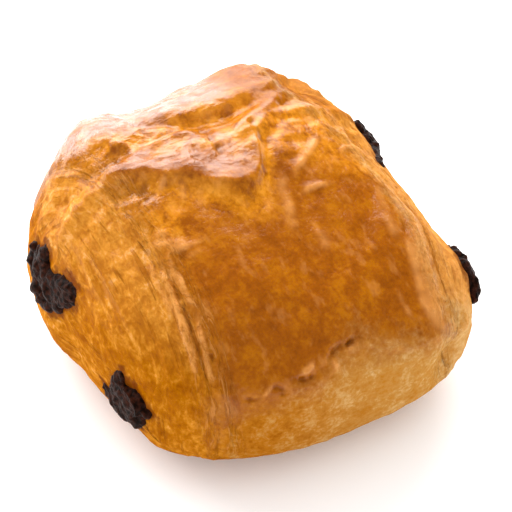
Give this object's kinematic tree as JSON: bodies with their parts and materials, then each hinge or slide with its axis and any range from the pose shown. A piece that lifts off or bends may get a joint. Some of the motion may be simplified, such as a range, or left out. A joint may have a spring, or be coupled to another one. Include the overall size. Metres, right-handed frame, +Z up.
{
  "type": "mini pain au chocolat",
  "caption": "Small square baked pastry roll with a glazed, layered crust; chocolate batons run through it and show at both cut ends.",
  "frame": {"origin": "middle of the bounding box, at the level of the flat underside", "axes": "+X along the chocolate batons towards the right cut end, +Y from the low glazed front to the high back, +Z up from the table"},
  "size_m": [0.0649, 0.0688, 0.0394],
  "materials": {
    "crust": "egg-washed golden brown crust, glossy on top, paler and matt at the cut ends and low on the sides",
    "chocolate": "dried dark chocolate, rough and craggy"
  },
  "bodies": {
    "root": {"dough": "crust", "chocolate_baton_back": "chocolate", "chocolate_baton_front": "chocolate"}
  },
  "joints": []
}
